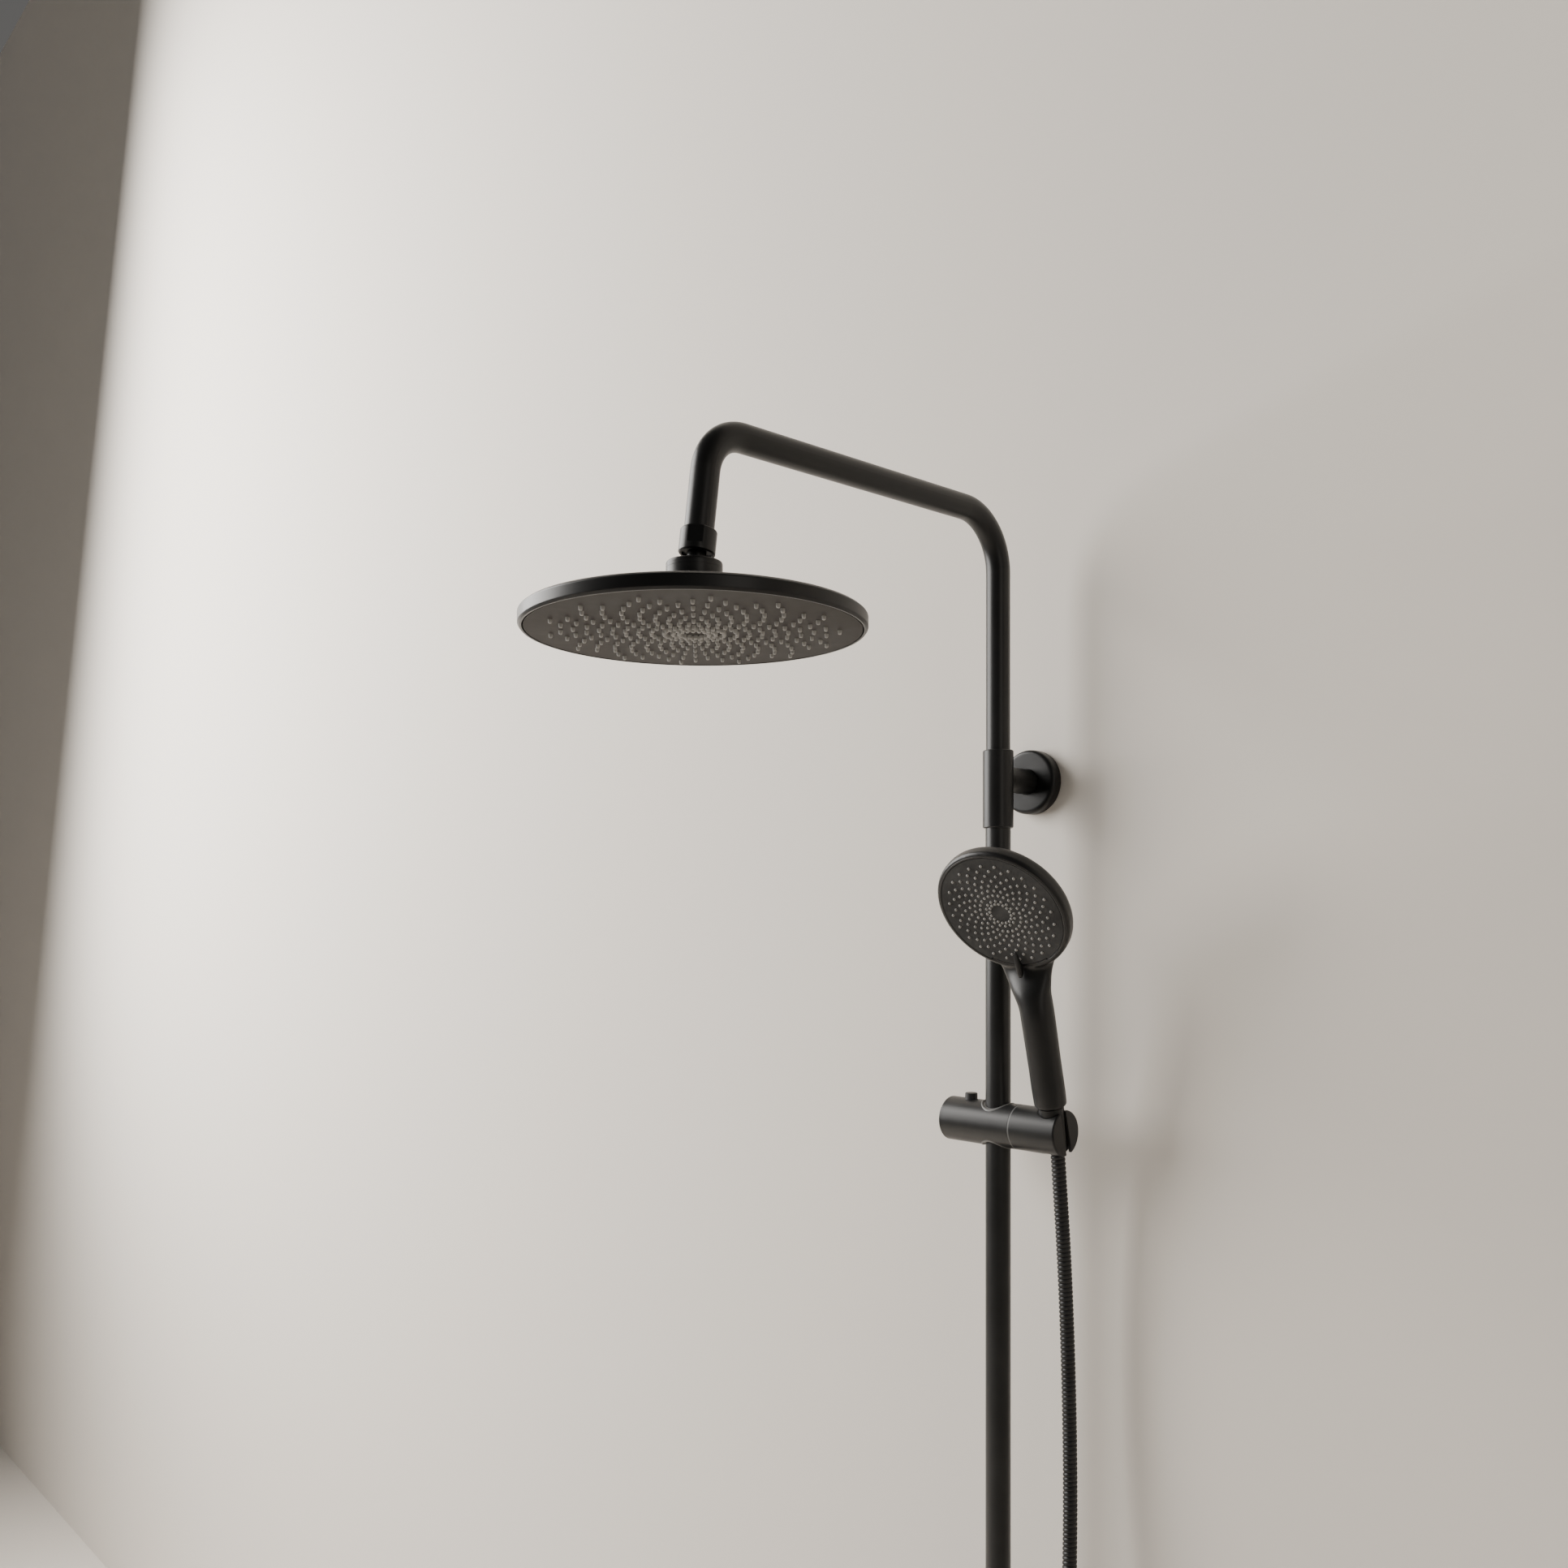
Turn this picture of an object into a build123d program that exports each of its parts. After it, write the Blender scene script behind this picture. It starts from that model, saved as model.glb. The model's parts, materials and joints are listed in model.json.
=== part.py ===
"""Rainfall shower column: every separate piece as its own solid, millimetres.

Frame: the origin is the middle of the upper bracket's wall face.
+X is to the right when facing the wall, +Y goes into the wall, +Z is up,
so the whole column stands on the room side, at negative Y.
"""
import os
from math import sin, cos, tan, radians, pi, sqrt

from build123d import *

os.makedirs("parts", exist_ok=True)

# ------------------------------------------------------------ driving dimensions
RISER_Y = -57.0          # riser axis, distance in front of the wall
ARM_OD = 22.0            # upper tube and arm
TUBE_WALL = 1.5
RISER_OD = 23.0          # lower tube
ARM_Z = 240.2            # arm axis height above the riser axis corner
ARM_DROOP = 1.94         # degrees the arm falls towards the head
DROP_LEAN = 7.5          # degrees the outlet leans outward
BEND_R = 50.0            # riser bend, centreline
ELBOW_R = 38.0           # head elbow, centreline

HEAD_R = 125.0           # rain head
HEAD_FACE_Z = 77.7       # underside of the head
BALL_Z = 118.3
BALL_Y = RISER_Y - 366.0
BALL_R = 11.0
SEAT_R = 14.0

SLEEVE_R = 14.0          # bracket sleeve around the riser
SLEEVE_TOP, SLEEVE_BOT = 25.6, -45.7
STANDOFF_R = 11.8
ROSE_R, ROSE_T = 30.3, 12.0

BARREL_Z = -317.6        # slider barrel axis
BARREL_R = 20.4
BODY_X0, BODY_X1 = -50.2, 23.9
HOLDER_X0, HOLDER_X1 = 25.7, 73.0
SEAT_X = 61.0            # handset axis
LEAN = 14.0              # degrees the handset leans outward
BUSH_R = 15.5

HS_R = 61.2              # handset rim
HS_UP, HS_BACK, HS_SIDE = 205.5, -24.9, -6.0   # handset face centre along and across its handle axis
HS_TILT = 22.0           # degrees between the face normal and the handle's cross direction
HS_YAW = 3.8             # degrees the handset is turned in its seat, to the right

BAR_Z = -1015.0          # mixer bar
BAR_R = 21.0
BAR_HALF = 95.0
INLET_X = 75.0           # half of the 150 mm between the two wall supplies
OUTLET_X = -50.0
HOSE_R = 6.5

parts = []


def keep(builder, name):
    builder.part.label = name
    export_step(builder.part, f"parts/{name}.step")
    parts.append((name, builder.part))


def ring_holes(rings, skip=None):
    """Points of a nozzle pattern: (radius, count, first angle) rings."""
    out = []
    for r, n, a0 in rings:
        for i in range(n):
            a = radians(a0 + 360.0 * i / n)
            p = (r * cos(a), r * sin(a))
            if skip is None or not skip(p):
                out.append(p)
    return out


# ------------------------------------------------------------ planes
c_, s_ = cos(radians(DROP_LEAN)), sin(radians(DROP_LEAN))
ball = Vector(0, BALL_Y, BALL_Z)
drop_dir = Vector(0, s_, c_)                         # up along the leaning outlet
drop = Plane(origin=ball, x_dir=(1, 0, 0), z_dir=drop_dir)

barrel = Plane(origin=(0, RISER_Y, BARREL_Z), x_dir=(0, 1, 0), z_dir=(1, 0, 0))
ch, sh = cos(radians(LEAN)), sin(radians(LEAN))
seat = Plane(origin=(SEAT_X, RISER_Y, BARREL_Z), x_dir=(1, 0, 0), z_dir=(0, -sh, ch))
cw, sw = cos(radians(HS_YAW)), sin(radians(HS_YAW))
hand = Plane(origin=seat.origin, x_dir=seat.x_dir * cw + seat.y_dir * sw, z_dir=seat.z_dir)


def hand_pt(x, y, z):
    """A point in the handset's own axes, turned into the shared frame."""
    p = hand.from_local_coords((x, y, z))
    return (p.X, p.Y, p.Z)


face_c = hand_pt(HS_SIDE, HS_BACK, HS_UP)
ft = radians(HS_TILT)
# face plane looks back along the spray: local z runs into the head, local y down the face
face = Plane(origin=face_c, x_dir=hand.x_dir, z_dir=hand.y_dir * cos(ft) + hand.z_dir * sin(ft))


def lathe(plane):
    """Sketch plane for a lathe profile: radius along x, height along the axis."""
    return Plane(origin=plane.origin, x_dir=plane.x_dir, z_dir=-plane.y_dir)


# ------------------------------------------------------------ rain head
head = Plane(origin=(0, BALL_Y, HEAD_FACE_Z), x_dir=(1, 0, 0), z_dir=(0, 0, 1))
head_axis = Axis((0, BALL_Y, HEAD_FACE_Z), (0, 0, 1))
B = BALL_Z - HEAD_FACE_Z
sr = SEAT_R + 0.12
lo = 7.1
with BuildPart() as head_shell:
    with BuildSketch(lathe(head)):
        with BuildLine():
            Polyline((121.2, 0), (123.2, 0), (HEAD_R, 1.8), (HEAD_R, 9.6), (122.8, 11.6),
                     (60, 22), (26, 33), (20.5, 37), (20.5, B + 4.9), (sqrt(sr**2 - 4.9**2), B + 4.9))
            ThreePointArc((sqrt(sr**2 - 4.9**2), B + 4.9), (sr, B), (sqrt(sr**2 - lo**2), B - lo))
            Polyline((sqrt(sr**2 - lo**2), B - lo), (9, B - lo), (9, 29.3), (25, 29.3), (60, 19.3),
                     (119, 10), (119, 4.4), (121.2, 4.4), (121.2, 0))
        make_face()
    revolve(axis=head_axis)
keep(head_shell, "head_shell")

# 28 nozzles a ring on nine rings, each ring half a step round from the last; the outermost has every other one
HEAD_STEP = 9.2
HEAD_RINGS = [(104.5, 14, 42.5)] + [(104.5 - HEAD_STEP * k, 28, 42.5 + (k % 2) * 180 / 28) for k in range(1, 10)]
HEAD_RINGS += [(15.5, 20, 0), (11.0, 16, 0)]
head_pts = ring_holes(HEAD_RINGS)
with BuildPart() as head_face_plate:
    with BuildSketch(Plane(origin=(0, BALL_Y, HEAD_FACE_Z + 0.3), x_dir=(1, 0, 0), z_dir=(0, 0, 1))):
        Circle(121.0)
        with Locations(*head_pts):
            Circle(1.55, mode=Mode.SUBTRACT)
    extrude(amount=2.6)
keep(head_face_plate, "head_face_plate")

with BuildPart() as head_nozzle_mat:
    with BuildSketch(Plane(origin=(0, BALL_Y, HEAD_FACE_Z + 2.95), x_dir=(1, 0, 0), z_dir=(0, 0, 1))):
        Circle(113.0)
    extrude(amount=1.4)
    with BuildSketch(Plane(origin=(0, BALL_Y, HEAD_FACE_Z - 2.6), x_dir=(1, 0, 0), z_dir=(0, 0, 1))):
        with Locations(*head_pts):
            Circle(1.45)
    extrude(amount=5.6)
keep(head_nozzle_mat, "head_nozzle_mat")

with BuildPart() as head_boss_ring:
    with BuildSketch(lathe(head)):
        with BuildLine():
            Polyline((9.95, B + 5.0), (20.5, B + 5.0), (20.5, B + 9.0), (19.5, B + 10.0), (12.9, B + 10.0), (9.95, B + 5.0))
        make_face()
    revolve(axis=head_axis)
keep(head_boss_ring, "head_boss_ring")

drop_axis = Axis(ball, drop_dir)
with BuildPart() as ball_seat:
    with BuildSketch(lathe(head)):
        with BuildLine():
            a, b = SEAT_R, BALL_R + 0.1
            up, dn = 1.5, 4.0
            ThreePointArc((sqrt(a * a - up * up), B + up), (a, B), (sqrt(a * a - dn * dn), B - dn))
            Line((sqrt(a * a - dn * dn), B - dn), (sqrt(b * b - dn * dn), B - dn))
            ThreePointArc((sqrt(b * b - dn * dn), B - dn), (b, B), (sqrt(b * b - up * up), B + up))
            Line((sqrt(b * b - up * up), B + up), (sqrt(a * a - up * up), B + up))
        make_face()
    revolve(axis=head_axis)
keep(ball_seat, "ball_seat")

with BuildPart() as ball_stem:
    with BuildSketch(lathe(drop)):
        with BuildLine():
            zt = sqrt(BALL_R**2 - 49)
            zb = sqrt(BALL_R**2 - 16)
            Polyline((4, -zb), (4, 20.6), (10.2, 20.6), (10.2, 18.4), (7, 17.6), (7, zt))
            ThreePointArc((7, zt), (BALL_R, 0), (4, -zb))
        make_face()
    revolve(axis=drop_axis)
keep(ball_stem, "ball_stem")

with BuildPart() as head_washer:
    with BuildSketch(drop.offset(20.7)):
        Circle(10.0)
        Circle(4.5, mode=Mode.SUBTRACT)
    extrude(amount=1.8)
keep(head_washer, "head_washer")

with BuildPart() as swivel_nut:
    with BuildSketch(lathe(drop)):
        with BuildLine():
            Polyline((7.3, 16), (12.7, 16), (13.5, 16.8), (13.5, 33.2), (12.9, 33.9), (10.7, 33.9),
                     (10.7, 18.3), (7.3, 17.4), (7.3, 16))
        make_face()
    revolve(axis=drop_axis)
keep(swivel_nut, "swivel_nut")

with BuildPart() as arm_nipple:
    with BuildSketch(lathe(drop)):
        with BuildLine():
            Polyline((6.5, 22.6), (10.5, 22.6), (10.5, 33.8), (9.35, 34.0), (9.35, 46), (6.5, 46), (6.5, 22.6))
        make_face()
    revolve(axis=drop_axis)
keep(arm_nipple, "arm_nipple")

# ------------------------------------------------------------ arm tube
arm_end = ball + drop_dir * 34.3
t = tan(radians(ARM_DROOP))
# corner where the arm axis meets the leaning outlet axis, as a distance from the riser
reach0 = RISER_Y - BALL_Y
corner_s = (reach0 - (ARM_Z - BALL_Z) * s_ / c_) / (1 - t * s_ / c_)
corner = (0, RISER_Y - corner_s, ARM_Z - corner_s * t)
ARM_BOTTOM = -11.0
with BuildPart() as arm_tube:
    with BuildLine():
        FilletPolyline((0, RISER_Y, ARM_BOTTOM), (0, RISER_Y, ARM_Z), corner,
                       (arm_end.X, arm_end.Y, arm_end.Z), radius=[BEND_R, ELBOW_R])
    with BuildSketch(Plane(origin=(0, RISER_Y, ARM_BOTTOM), z_dir=(0, 0, 1))):
        Circle(ARM_OD / 2)
        Circle(ARM_OD / 2 - TUBE_WALL, mode=Mode.SUBTRACT)
    sweep()
keep(arm_tube, "arm_tube")

# ------------------------------------------------------------ upper bracket
with BuildPart() as bracket_sleeve:
    with BuildSketch(Plane(origin=(0, RISER_Y, SLEEVE_BOT), z_dir=(0, 0, 1))):
        Circle(SLEEVE_R)
    extrude(amount=SLEEVE_TOP - SLEEVE_BOT)
    chamfer(bracket_sleeve.edges().filter_by(GeomType.CIRCLE), 0.8)
    with BuildSketch(Plane(origin=(0, RISER_Y, 0), x_dir=(1, 0, 0), z_dir=(0, 1, 0))):
        Circle(STANDOFF_R)
    extrude(amount=-RISER_Y - 9.0)
    with BuildSketch(Plane(origin=(0, RISER_Y, -12.2), z_dir=(0, 0, 1))):
        Circle(12.55)
    extrude(amount=60, mode=Mode.SUBTRACT)
    with BuildSketch(Plane(origin=(0, RISER_Y, -60), z_dir=(0, 0, 1))):
        Circle(RISER_OD / 2 + 0.1)
    extrude(amount=60, mode=Mode.SUBTRACT)
    with BuildSketch(Plane(origin=(0, -9.0, 0), x_dir=(1, 0, 0), z_dir=(0, -1, 0))):
        Circle(8.5)
    extrude(amount=28, mode=Mode.SUBTRACT)
    with BuildSketch(Plane(origin=(0, -22, -20), z_dir=(0, 0, 1))):
        Circle(2.5)
    extrude(amount=14, mode=Mode.SUBTRACT)
keep(bracket_sleeve, "bracket_sleeve")

with BuildPart() as arm_bush:
    with BuildSketch(Plane(origin=(0, RISER_Y, -11.9), z_dir=(0, 0, 1))):
        Circle(12.45)
        Circle(ARM_OD / 2 + 0.1, mode=Mode.SUBTRACT)
    extrude(amount=36.6)
keep(arm_bush, "arm_bush")

with BuildPart() as arm_o_ring:
    with BuildSketch(Plane(origin=(0, RISER_Y, -14.6), z_dir=(0, 0, 1))):
        Circle(11.05)
        Circle(9.6, mode=Mode.SUBTRACT)
    extrude(amount=3.3)
keep(arm_o_ring, "arm_o_ring")

with BuildPart() as wall_plate:
    with BuildSketch(Plane(origin=(0, 0, 0), x_dir=(1, 0, 0), z_dir=(0, -1, 0))):
        Circle(25.0)
        with Locations((17, 0), (-17, 0)):
            Circle(2.6, mode=Mode.SUBTRACT)
    extrude(amount=4)
    with BuildSketch(Plane(origin=(0, -4, 0), x_dir=(1, 0, 0), z_dir=(0, -1, 0))):
        Circle(8.4)
    extrude(amount=31)
keep(wall_plate, "wall_plate")

with BuildPart() as grub_screw:
    with BuildSketch(Plane(origin=(0, -22, -8.5), z_dir=(0, 0, -1))):
        Circle(2.4)
        RegularPolygon(1.2, 6, mode=Mode.SUBTRACT)
    extrude(amount=2.9)
keep(grub_screw, "grub_screw")


def rose(name, x, z, radius, depth, hole):
    plane = Plane(origin=(x, 0, z), x_dir=(1, 0, 0), z_dir=(0, -1, 0))
    with BuildPart() as cup:
        with BuildSketch(plane):
            Circle(radius)
        extrude(amount=depth)
        fillet(cup.faces().sort_by(Axis.Y)[0].edges(), 4.5)
        with BuildSketch(plane):
            Circle(radius - 2.2)
        extrude(amount=depth - 2.4, mode=Mode.SUBTRACT)
        with BuildSketch(plane):
            Circle(hole)
        extrude(amount=depth + 5, mode=Mode.SUBTRACT)
    keep(cup, name)


rose("escutcheon", 0, 0, ROSE_R, ROSE_T, STANDOFF_R + 0.1)

# ------------------------------------------------------------ riser
RISER_TOP, RISER_BOT = -14.8, BAR_Z + 24
with BuildPart() as riser_tube:
    with BuildSketch(Plane(origin=(0, RISER_Y, RISER_BOT), z_dir=(0, 0, 1))):
        Circle(RISER_OD / 2)
        Circle(RISER_OD / 2 - TUBE_WALL, mode=Mode.SUBTRACT)
    extrude(amount=RISER_TOP - RISER_BOT)
keep(riser_tube, "riser_tube")

# ------------------------------------------------------------ slider
BTN_X = -30.6
with BuildPart() as slider_body:
    with BuildSketch(barrel.offset(BODY_X0)):
        Circle(BARREL_R)
    extrude(amount=BODY_X1 - BODY_X0)
    with BuildSketch(Plane(origin=(0, RISER_Y, BARREL_Z - 25), z_dir=(0, 0, 1))):
        Circle(BUSH_R + 0.15)
    extrude(amount=50, mode=Mode.SUBTRACT)
    with BuildSketch(Plane(origin=(BTN_X, RISER_Y, BARREL_Z - 8), z_dir=(0, 0, 1))):
        Circle(5.95)
    extrude(amount=40, mode=Mode.SUBTRACT)
    with BuildSketch(barrel.offset(-25)):
        Circle(4.1)
    extrude(amount=12, mode=Mode.SUBTRACT)
    with BuildSketch(barrel.offset(BODY_X0 - 1)):
        Circle(12.1)
    extrude(amount=8.2, mode=Mode.SUBTRACT)
    with BuildSketch(barrel.offset(15.0)):
        Circle(6.05)
    extrude(amount=12, mode=Mode.SUBTRACT)
keep(slider_body, "slider_body")

with BuildPart() as slider_bush:
    with BuildSketch(Plane(origin=(0, RISER_Y, BARREL_Z - 25), z_dir=(0, 0, 1))):
        Circle(BUSH_R)
        Circle(RISER_OD / 2 + 0.1, mode=Mode.SUBTRACT)
    extrude(amount=50)
    with BuildSketch(barrel.offset(-30)):
        Circle(BARREL_R + 0.5)
    extrude(amount=60, mode=Mode.INTERSECT)
keep(slider_bush, "slider_bush")

with BuildPart() as slider_end_cap:
    with BuildSketch(lathe(barrel)):
        with BuildLine():
            Polyline((0, BODY_X0 + 7), (12.0, BODY_X0 + 7), (12.0, BODY_X0 - 0.1), (BARREL_R, BODY_X0 - 0.1),
                     (BARREL_R, BODY_X0 - 2.6), (BARREL_R - 1.3, BODY_X0 - 3.8), (0, BODY_X0 - 3.8), (0, BODY_X0 + 7))
        make_face()
    revolve(axis=Axis((0, RISER_Y, BARREL_Z), (1, 0, 0)))
keep(slider_end_cap, "slider_end_cap")

with BuildPart() as slider_button:
    with BuildSketch(Plane(origin=(BTN_X, RISER_Y, BARREL_Z + 8), z_dir=(0, 0, 1))):
        Circle(5.8)
    extrude(amount=BARREL_R - 8 + 5.3)
    chamfer(slider_button.edges().sort_by(Axis.Z)[-1], 0.6)
keep(slider_button, "slider_button")

with BuildPart() as button_spring:
    with BuildSketch(Plane(origin=(BTN_X, RISER_Y, BARREL_Z - 7.9), z_dir=(0, 0, 1))):
        Circle(4.6)
        Circle(3.2, mode=Mode.SUBTRACT)
    extrude(amount=12.0)
keep(button_spring, "button_spring")

with BuildPart() as brake_shoe:
    with BuildSketch(barrel.offset(-24.4)):
        Circle(4.0)
    extrude(amount=8.6)
keep(brake_shoe, "brake_shoe")

with BuildPart() as slider_seal_ring:
    with BuildSketch(barrel.offset(24.0)):
        Circle(BARREL_R - 0.2)
        Circle(6.3, mode=Mode.SUBTRACT)
    extrude(amount=1.6)
keep(slider_seal_ring, "slider_seal_ring")

SLOT = 8.4               # the seat opens through the end
with BuildPart() as handset_holder:
    with BuildSketch(barrel.offset(HOLDER_X0)):
        Circle(BARREL_R)
    extrude(amount=HOLDER_X1 - HOLDER_X0)
    fillet(handset_holder.faces().sort_by(Axis.X)[-1].edges(), 1.6)
    with BuildSketch(seat.offset(-30)):
        Circle(12.6)
    extrude(amount=60, mode=Mode.SUBTRACT)
    with BuildSketch(seat.offset(-30)):
        with Locations((15, 0)):
            Rectangle(30, SLOT)
    extrude(amount=60, mode=Mode.SUBTRACT)
    with BuildSketch(barrel.offset(HOLDER_X0 - 1)):
        Circle(6.0)
    extrude(amount=12, mode=Mode.SUBTRACT)
keep(handset_holder, "handset_holder")

with BuildPart() as holder_insert:
    with BuildSketch(lathe(seat)):
        with BuildLine():
            Polyline((9.75, -22), (12.5, -22), (12.5, 22), (11.6, 22), (9.75, -22))
        make_face()
    revolve(axis=Axis(seat.origin, seat.z_dir))
    with BuildSketch(seat.offset(-30)):
        with Locations((15, 0)):
            Rectangle(30, SLOT + 0.1)
    extrude(amount=60, mode=Mode.SUBTRACT)
    with BuildSketch(barrel.offset(HOLDER_X0)):
        Circle(BARREL_R - 0.6)
    extrude(amount=HOLDER_X1 - HOLDER_X0 - 0.6, mode=Mode.INTERSECT)
keep(holder_insert, "holder_insert")

with BuildPart() as holder_pivot:
    with BuildSketch(barrel.offset(16.4)):
        Circle(6.0)
    extrude(amount=20.0)
keep(holder_pivot, "holder_pivot")

# ------------------------------------------------------------ handset
with BuildPart() as handset_body:
    # handle, then the neck that carries it over to the back of the head
    with BuildSketch(hand.offset(24.0)):
        Circle(12.6)
    with BuildSketch(hand.offset(26.5)):
        Circle(14.4)
    loft()
    with BuildSketch(hand.offset(26.5)):
        Circle(14.4)
    with BuildSketch(hand.offset(108)):
        Circle(14.9)
    loft()
    with BuildSketch(hand.offset(108)):
        Circle(14.9)
    with BuildSketch(hand.offset(130)):
        with Locations((-1.2, 1.6)):
            Ellipse(16.6, 13.6)
    with BuildSketch(hand.offset(150)):
        with Locations((-3.2, 7.0)):
            Ellipse(22.5, 10.4)
    with BuildSketch(hand.offset(172)):
        with Locations((-5.5, 5.0)):
            Ellipse(38, 9.5)
    loft()
    with BuildSketch(lathe(face)):
        with BuildLine():
            Polyline((0, 4.8), (0, 29))
            Spline((0, 29), (32, 25.6), (50, 19.2), (HS_R, 11.5), tangents=[(1, 0), (0.1, -1)])
            Polyline((HS_R, 11.5), (HS_R, 2.2), (HS_R - 1.9, 0), (56.3, 0), (56.3, 4.8), (0, 4.8))
        make_face()
    revolve(axis=Axis(face.origin, face.z_dir))
    # nothing of the neck stands in front of the rim
    with BuildSketch(face.offset(-40)):
        Circle(HS_R)
    extrude(amount=40, mode=Mode.SUBTRACT)
    with BuildSketch(face.offset(-1)):
        Circle(56.3)
    extrude(amount=5.8, mode=Mode.SUBTRACT)
    with BuildSketch(face.offset(4)):
        Circle(54.0)
    extrude(amount=8.0, mode=Mode.SUBTRACT)
    # waterway up the handle
    p0, p1 = Vector(*hand_pt(0, 0, 23)), Vector(*hand_pt(-3, 6, 167))
    with BuildSketch(Plane(origin=p0, x_dir=(1, 0, 0), z_dir=(p1 - p0))):
        Circle(4.5)
    extrude(amount=(p1 - p0).length, mode=Mode.SUBTRACT)
    with BuildSketch(hand.offset(23)):
        Circle(8.2)
    extrude(amount=16, mode=Mode.SUBTRACT)
keep(handset_body, "handset_body")

# 24 nozzles a ring on seven rings, each half a step round from the last, and two close rings inside
HS_STEP = 4.95
HS_RINGS = [(48.5 - HS_STEP * k, 24, -1 + (k % 2) * 7.5) for k in range(7)] + [(13.0, 16, 0), (9.9, 16, 11.25)]
hs_pts = ring_holes(HS_RINGS)
with BuildPart() as handset_face_plate:
    with BuildSketch(face.offset(0.3)):
        Circle(56.0)
        with Locations(*hs_pts):
            Circle(1.25, mode=Mode.SUBTRACT)
    extrude(amount=2.4)
    with BuildSketch(face.offset(-1)):
        with BuildLine():
            g = radians(30)
            r1, r2 = 54.4, 56.6
            m = pi / 2
            CenterArc((0, 0), r1, 60, 60)
            CenterArc((0, 0), r2, 60, 60)
            Line((r1 * cos(m - g), r1 * sin(m - g)), (r2 * cos(m - g), r2 * sin(m - g)))
            Line((r1 * cos(m + g), r1 * sin(m + g)), (r2 * cos(m + g), r2 * sin(m + g)))
        make_face()
    extrude(amount=6, mode=Mode.SUBTRACT)
keep(handset_face_plate, "handset_face_plate")

with BuildPart() as handset_nozzle_mat:
    with BuildSketch(face.offset(2.8)):
        Circle(49.9)
    extrude(amount=1.4)
    with BuildSketch(face.offset(-1.1)):
        with Locations(*hs_pts):
            Circle(1.15)
    extrude(amount=4.0)
keep(handset_nozzle_mat, "handset_nozzle_mat")

with BuildPart() as selector_lever:
    # fin in the plane of symmetry: down the face and into the head are the sketch's axes
    with BuildSketch(Plane(origin=face.origin, x_dir=face.y_dir, z_dir=face.x_dir)):
        with BuildLine():
            Polyline((39, -1.4), (54.7, -1.4), (54.7, 4.5), (55.9, 4.5), (55.9, -0.6), (57.0, -0.6), (61, -4.2), (63.2, -7.6), (61.5, -9.0),
                     (47, -5.6), (39, -1.8), (39, -1.4))
        make_face()
    extrude(amount=2.3, both=True)
    with BuildSketch(face.offset(3.2)):
        with Locations((0, 53.2)):
            Rectangle(4.6, 5.4)
    extrude(amount=1.4)
    with BuildSketch(face.offset(4.5)):
        with Locations((0, 52.1)):
            Rectangle(4.6, 3.2)
    extrude(amount=2.0)
    with BuildSketch(face.offset(5.0)):
        Circle(53.8)
        Circle(46.0, mode=Mode.SUBTRACT)
    extrude(amount=1.8)
keep(selector_lever, "selector_lever")

with BuildPart() as hose_nut_top:
    with BuildSketch(lathe(hand)):
        with BuildLine():
            Polyline((7.0, -18.5), (8.2, -18.5), (9.65, -16.5), (11.25, 20), (11.25, 23.4), (8.0, 23.6), (8.0, 37), (5.0, 37),
                     (5.0, -4), (7.0, -6), (7.0, -18.5))
        make_face()
    revolve(axis=Axis(hand.origin, hand.z_dir))
keep(hose_nut_top, "hose_nut_top")

# ------------------------------------------------------------ mixer
bar = Plane(origin=(0, RISER_Y, BAR_Z), x_dir=(0, 1, 0), z_dir=(1, 0, 0))
with BuildPart() as mixer_body:
    with BuildSketch(bar.offset(-BAR_HALF)):
        Circle(BAR_R)
    extrude(amount=2 * BAR_HALF)
    fillet(mixer_body.edges().filter_by(GeomType.CIRCLE), 1.2)
    for x in (-INLET_X, INLET_X):
        with BuildSketch(Plane(origin=(x, RISER_Y, BAR_Z), x_dir=(1, 0, 0), z_dir=(0, 1, 0))):
            Circle(12.0)
        extrude(amount=26.0)
    with BuildSketch(Plane(origin=(0, RISER_Y, BAR_Z), z_dir=(0, 0, 1))):
        Circle(13.6)
    extrude(amount=36)
    with BuildSketch(Plane(origin=(OUTLET_X, RISER_Y, BAR_Z), z_dir=(0, 0, -1))):
        Circle(10.4)
    extrude(amount=34)
    with BuildSketch(Plane(origin=(OUTLET_X, RISER_Y, BAR_Z), z_dir=(0, 0, -1))):
        Circle(14.0)
    extrude(amount=22.5)
    # bores: both cartridges, the supplies, the riser and the hose outlet
    with BuildSketch(bar.offset(-BAR_HALF - 1)):
        Circle(15.5)
    extrude(amount=2 * BAR_HALF + 2, mode=Mode.SUBTRACT)
    for x in (-INLET_X, INLET_X):
        with BuildSketch(Plane(origin=(x, RISER_Y, BAR_Z), x_dir=(1, 0, 0), z_dir=(0, 1, 0))):
            Circle(7.0)
        extrude(amount=27.0, mode=Mode.SUBTRACT)
    with BuildSketch(Plane(origin=(0, RISER_Y, BAR_Z), z_dir=(0, 0, 1))):
        Circle(9.0)
    extrude(amount=40, mode=Mode.SUBTRACT)
    with BuildSketch(Plane(origin=(0, RISER_Y, BAR_Z + 23.8), z_dir=(0, 0, 1))):
        Circle(RISER_OD / 2 + 0.1)
    extrude(amount=20, mode=Mode.SUBTRACT)
    with BuildSketch(Plane(origin=(OUTLET_X, RISER_Y, BAR_Z), z_dir=(0, 0, -1))):
        Circle(6.5)
    extrude(amount=36, mode=Mode.SUBTRACT)
keep(mixer_body, "mixer_body")

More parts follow.
